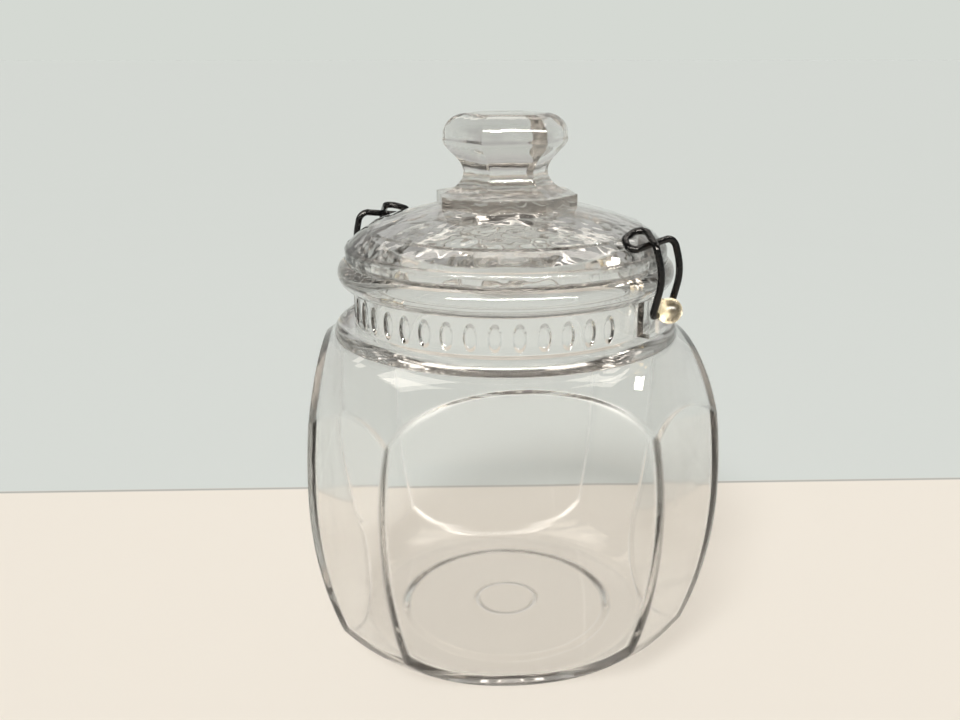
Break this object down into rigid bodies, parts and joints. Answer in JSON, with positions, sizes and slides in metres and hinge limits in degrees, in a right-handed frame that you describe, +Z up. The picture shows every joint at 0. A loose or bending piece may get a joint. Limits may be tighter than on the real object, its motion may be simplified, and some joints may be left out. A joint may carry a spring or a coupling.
{
  "type": "lidded glass canister",
  "caption": "Pressed clear-glass storage jar with curved side panels, a band of thumbprints at the neck, a domed knobbed lid and wire clips that hook over it.",
  "frame": {"origin": "centre of the foot, on the surface that the jar stands on", "axes": "+Z up along the jar's axis; a wide panel faces -Y, the front; +X to the right as seen from the front"},
  "size_m": [0.146, 0.146, 0.2023],
  "materials": {
    "jar_glass": "clear pressed glass",
    "lid_glass": "clear pressed glass",
    "black_wire": "black coated steel wire"
  },
  "bodies": {
    "jar": {"jar": "jar_glass"},
    "lid": {"lid": "lid_glass"},
    "clip_right": {"clip_right": "black_wire"},
    "clip_left": {"clip_left": "black_wire"}
  },
  "joints": [
    {"name": "lid_lift", "type": "slide", "parent": "jar", "child": "lid", "axis": [0, 0, 1], "range_m": [0, 0.033]},
    {"name": "clip_right_swing", "type": "hinge", "parent": "jar", "child": "clip_right", "pos_m": [0.05135, -0.0387, 0.1362], "axis": [0.6018, 0.7986, 0], "range_deg": [0, 135]},
    {"name": "clip_left_swing", "type": "hinge", "parent": "jar", "child": "clip_left", "pos_m": [-0.05135, 0.0387, 0.1362], "axis": [-0.6018, -0.7986, 0], "range_deg": [0, 135]}
  ],
  "couplings": [
    {"joint": "clip_right_swing", "follows": "lid_lift", "rad_per_m": 71.39},
    {"joint": "clip_left_swing", "follows": "lid_lift", "rad_per_m": 71.39}
  ]
}
